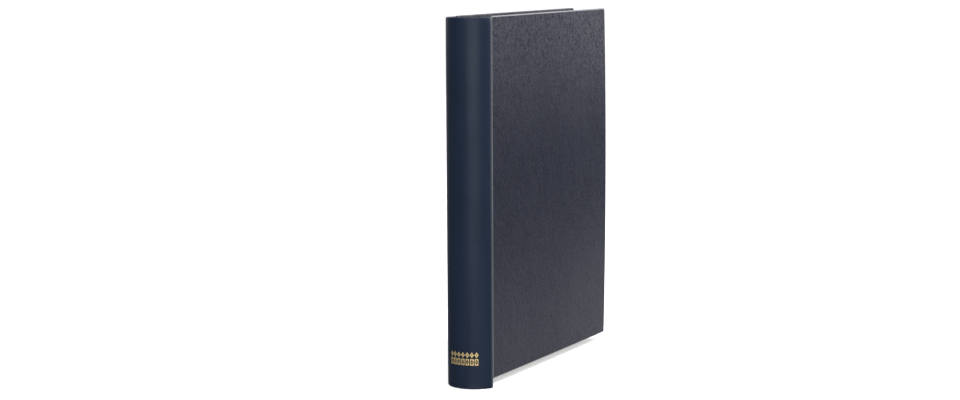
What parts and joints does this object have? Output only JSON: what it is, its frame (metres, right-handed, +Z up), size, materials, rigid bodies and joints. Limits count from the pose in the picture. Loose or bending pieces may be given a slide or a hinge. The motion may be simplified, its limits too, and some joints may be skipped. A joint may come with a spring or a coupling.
{
  "type": "springback stamp album",
  "caption": "Upright springback stamp album: rounded steel-spring spine, two hinged leathercloth boards, loose linen-hinged leaves clamped between the spine's lips.",
  "frame": {"origin": "centre of the bounding box's bottom face, on the surface that the foot of the spine stands on", "axes": "+Z up along the spine, -Y out of the rounded spine, +Y to the fore edge, +X out of the front cover"},
  "size_m": [0.042, 0.2608, 0.311],
  "materials": {
    "spine_leathercloth": "satin navy leathercloth",
    "cover_leathercloth": "fine-grained navy leathercloth",
    "joint_leathercloth": "flexed navy leathercloth",
    "spring_steel": "rolled spring steel",
    "lever_steel": "pressed steel strip",
    "binders_board": "grey millboard",
    "lining_paper": "kraft lining paper",
    "endpaper": "cream laid paper",
    "guard_card": "manila guard card",
    "guard_linen": "plain-woven linen tape",
    "interleaving_tissue": "glazed interleaving tissue",
    "gilt_foil": "stamped gold foil",
    "leaf_card": "cream album leaf with a faint quadrille"
  },
  "bodies": {
    "spine": {"spine_cloth": "spine_leathercloth", "spine_spring": "spring_steel", "spine_lining": "lining_paper", "front_lever": "lever_steel", "back_lever": "lever_steel", "front_joint": "joint_leathercloth", "back_joint": "joint_leathercloth", "guard_01": "guard_card", "guard_02": "guard_card", "guard_03": "guard_card", "guard_04": "guard_card", "guard_05": "guard_card", "guard_06": "guard_card", "guard_07": "guard_card", "guard_08": "guard_card", "guard_09": "guard_card", "guard_10": "guard_card", "guard_11": "guard_card", "guard_12": "guard_card", "guard_13": "guard_card", "guard_14": "guard_card", "guard_15": "guard_card", "guard_16": "guard_card", "guard_17": "guard_card", "guard_18": "guard_card", "guard_19": "guard_card", "guard_20": "guard_card", "guard_21": "guard_card", "guard_22": "guard_card"},
    "front_cover": {"front_board": "binders_board", "front_board_cloth": "cover_leathercloth", "front_pastedown": "endpaper"},
    "back_cover": {"back_board": "binders_board", "back_board_cloth": "cover_leathercloth", "back_pastedown": "endpaper"},
    "leaf_01_turn": {"leaf_01": "leaf_card"},
    "leaf_02_turn": {"leaf_02": "leaf_card"},
    "leaf_03_turn": {"leaf_03": "leaf_card"},
    "leaf_04_turn": {"leaf_04": "leaf_card"},
    "leaf_05_turn": {"leaf_05": "leaf_card"},
    "leaf_06_turn": {"leaf_06": "leaf_card"},
    "leaf_07_turn": {"leaf_07": "leaf_card"},
    "leaf_08_turn": {"leaf_08": "leaf_card"},
    "leaf_09_turn": {"leaf_09": "leaf_card"},
    "leaf_10_turn": {"leaf_10": "leaf_card"},
    "leaf_11_turn": {"leaf_11": "leaf_card"},
    "leaf_12_turn": {"leaf_12": "leaf_card"},
    "leaf_13_turn": {"leaf_13": "leaf_card"},
    "leaf_14_turn": {"leaf_14": "leaf_card"},
    "leaf_15_turn": {"leaf_15": "leaf_card"},
    "leaf_16_turn": {"leaf_16": "leaf_card"},
    "leaf_17_turn": {"leaf_17": "leaf_card"},
    "leaf_18_turn": {"leaf_18": "leaf_card"},
    "leaf_19_turn": {"leaf_19": "leaf_card"},
    "leaf_20_turn": {"leaf_20": "leaf_card"},
    "leaf_21_turn": {"leaf_21": "leaf_card"},
    "leaf_22_turn": {"leaf_22": "leaf_card"}
  },
  "joints": [
    {"name": "front_cover_hinge", "type": "hinge", "parent": "spine", "child": "front_cover", "pos_m": [0.0172, -0.10995, 0], "axis": [0, 0, -1], "range_deg": [0, 140]},
    {"name": "back_cover_hinge", "type": "hinge", "parent": "spine", "child": "back_cover", "pos_m": [-0.0172, -0.10995, 0], "axis": [0, 0, 1], "range_deg": [0, 140]},
    {"name": "leaf_01_bend", "type": "hinge", "parent": "spine", "child": "leaf_01_turn", "pos_m": [0.0126, -0.10905, 0], "axis": [0, 0, -1], "range_deg": [0, 84.5]},
    {"name": "leaf_02_bend", "type": "hinge", "parent": "spine", "child": "leaf_02_turn", "pos_m": [0.0114, -0.10805, 0], "axis": [0, 0, -1], "range_deg": [0, 76.9]},
    {"name": "leaf_03_bend", "type": "hinge", "parent": "spine", "child": "leaf_03_turn", "pos_m": [0.0102, -0.10705, 0], "axis": [0, 0, -1], "range_deg": [0, 69.3]},
    {"name": "leaf_04_bend", "type": "hinge", "parent": "spine", "child": "leaf_04_turn", "pos_m": [0.009, -0.10605, 0], "axis": [0, 0, -1], "range_deg": [0, 61.7]},
    {"name": "leaf_05_bend", "type": "hinge", "parent": "spine", "child": "leaf_05_turn", "pos_m": [0.0078, -0.10505, 0], "axis": [0, 0, -1], "range_deg": [0, 54.1]},
    {"name": "leaf_06_bend", "type": "hinge", "parent": "spine", "child": "leaf_06_turn", "pos_m": [0.0066, -0.10405, 0], "axis": [0, 0, -1], "range_deg": [0, 46.5]},
    {"name": "leaf_07_bend", "type": "hinge", "parent": "spine", "child": "leaf_07_turn", "pos_m": [0.0054, -0.10305, 0], "axis": [0, 0, -1], "range_deg": [0, 38.9]},
    {"name": "leaf_08_bend", "type": "hinge", "parent": "spine", "child": "leaf_08_turn", "pos_m": [0.0042, -0.10205, 0], "axis": [0, 0, -1], "range_deg": [0, 31.3]},
    {"name": "leaf_09_bend", "type": "hinge", "parent": "spine", "child": "leaf_09_turn", "pos_m": [0.003, -0.10105, 0], "axis": [0, 0, -1], "range_deg": [0, 23.7]},
    {"name": "leaf_10_bend", "type": "hinge", "parent": "spine", "child": "leaf_10_turn", "pos_m": [0.0018, -0.10005, 0], "axis": [0, 0, -1], "range_deg": [0, 16.1]},
    {"name": "leaf_11_bend", "type": "hinge", "parent": "spine", "child": "leaf_11_turn", "pos_m": [0.0006, -0.09905, 0], "axis": [0, 0, -1], "range_deg": [0, 8.5]},
    {"name": "leaf_12_bend", "type": "hinge", "parent": "spine", "child": "leaf_12_turn", "pos_m": [-0.0006, -0.09905, 0], "axis": [0, 0, 1], "range_deg": [0, 8.5]},
    {"name": "leaf_13_bend", "type": "hinge", "parent": "spine", "child": "leaf_13_turn", "pos_m": [-0.0018, -0.10005, 0], "axis": [0, 0, 1], "range_deg": [0, 16.1]},
    {"name": "leaf_14_bend", "type": "hinge", "parent": "spine", "child": "leaf_14_turn", "pos_m": [-0.003, -0.10105, 0], "axis": [0, 0, 1], "range_deg": [0, 23.7]},
    {"name": "leaf_15_bend", "type": "hinge", "parent": "spine", "child": "leaf_15_turn", "pos_m": [-0.0042, -0.10205, 0], "axis": [0, 0, 1], "range_deg": [0, 31.3]},
    {"name": "leaf_16_bend", "type": "hinge", "parent": "spine", "child": "leaf_16_turn", "pos_m": [-0.0054, -0.10305, 0], "axis": [0, 0, 1], "range_deg": [0, 38.9]},
    {"name": "leaf_17_bend", "type": "hinge", "parent": "spine", "child": "leaf_17_turn", "pos_m": [-0.0066, -0.10405, 0], "axis": [0, 0, 1], "range_deg": [0, 46.5]},
    {"name": "leaf_18_bend", "type": "hinge", "parent": "spine", "child": "leaf_18_turn", "pos_m": [-0.0078, -0.10505, 0], "axis": [0, 0, 1], "range_deg": [0, 54.1]},
    {"name": "leaf_19_bend", "type": "hinge", "parent": "spine", "child": "leaf_19_turn", "pos_m": [-0.009, -0.10605, 0], "axis": [0, 0, 1], "range_deg": [0, 61.7]},
    {"name": "leaf_20_bend", "type": "hinge", "parent": "spine", "child": "leaf_20_turn", "pos_m": [-0.0102, -0.10705, 0], "axis": [0, 0, 1], "range_deg": [0, 69.3]},
    {"name": "leaf_21_bend", "type": "hinge", "parent": "spine", "child": "leaf_21_turn", "pos_m": [-0.0114, -0.10805, 0], "axis": [0, 0, 1], "range_deg": [0, 76.9]},
    {"name": "leaf_22_bend", "type": "hinge", "parent": "spine", "child": "leaf_22_turn", "pos_m": [-0.0126, -0.10905, 0], "axis": [0, 0, 1], "range_deg": [0, 84.5]}
  ],
  "couplings": [
    {"joint": "leaf_01_bend", "follows": "front_cover_hinge", "ratio": 0.6},
    {"joint": "leaf_02_bend", "follows": "front_cover_hinge", "ratio": 0.54571},
    {"joint": "leaf_03_bend", "follows": "front_cover_hinge", "ratio": 0.49143},
    {"joint": "leaf_04_bend", "follows": "front_cover_hinge", "ratio": 0.43714},
    {"joint": "leaf_05_bend", "follows": "front_cover_hinge", "ratio": 0.38286},
    {"joint": "leaf_06_bend", "follows": "front_cover_hinge", "ratio": 0.32857},
    {"joint": "leaf_07_bend", "follows": "front_cover_hinge", "ratio": 0.27429},
    {"joint": "leaf_08_bend", "follows": "front_cover_hinge", "ratio": 0.22},
    {"joint": "leaf_09_bend", "follows": "front_cover_hinge", "ratio": 0.16571},
    {"joint": "leaf_10_bend", "follows": "front_cover_hinge", "ratio": 0.11143},
    {"joint": "leaf_11_bend", "follows": "front_cover_hinge", "ratio": 0.057143},
    {"joint": "leaf_12_bend", "follows": "back_cover_hinge", "ratio": 0.057143},
    {"joint": "leaf_13_bend", "follows": "back_cover_hinge", "ratio": 0.11143},
    {"joint": "leaf_14_bend", "follows": "back_cover_hinge", "ratio": 0.16571},
    {"joint": "leaf_15_bend", "follows": "back_cover_hinge", "ratio": 0.22},
    {"joint": "leaf_16_bend", "follows": "back_cover_hinge", "ratio": 0.27429},
    {"joint": "leaf_17_bend", "follows": "back_cover_hinge", "ratio": 0.32857},
    {"joint": "leaf_18_bend", "follows": "back_cover_hinge", "ratio": 0.38286},
    {"joint": "leaf_19_bend", "follows": "back_cover_hinge", "ratio": 0.43714},
    {"joint": "leaf_20_bend", "follows": "back_cover_hinge", "ratio": 0.49143},
    {"joint": "leaf_21_bend", "follows": "back_cover_hinge", "ratio": 0.54571},
    {"joint": "leaf_22_bend", "follows": "back_cover_hinge", "ratio": 0.6}
  ]
}
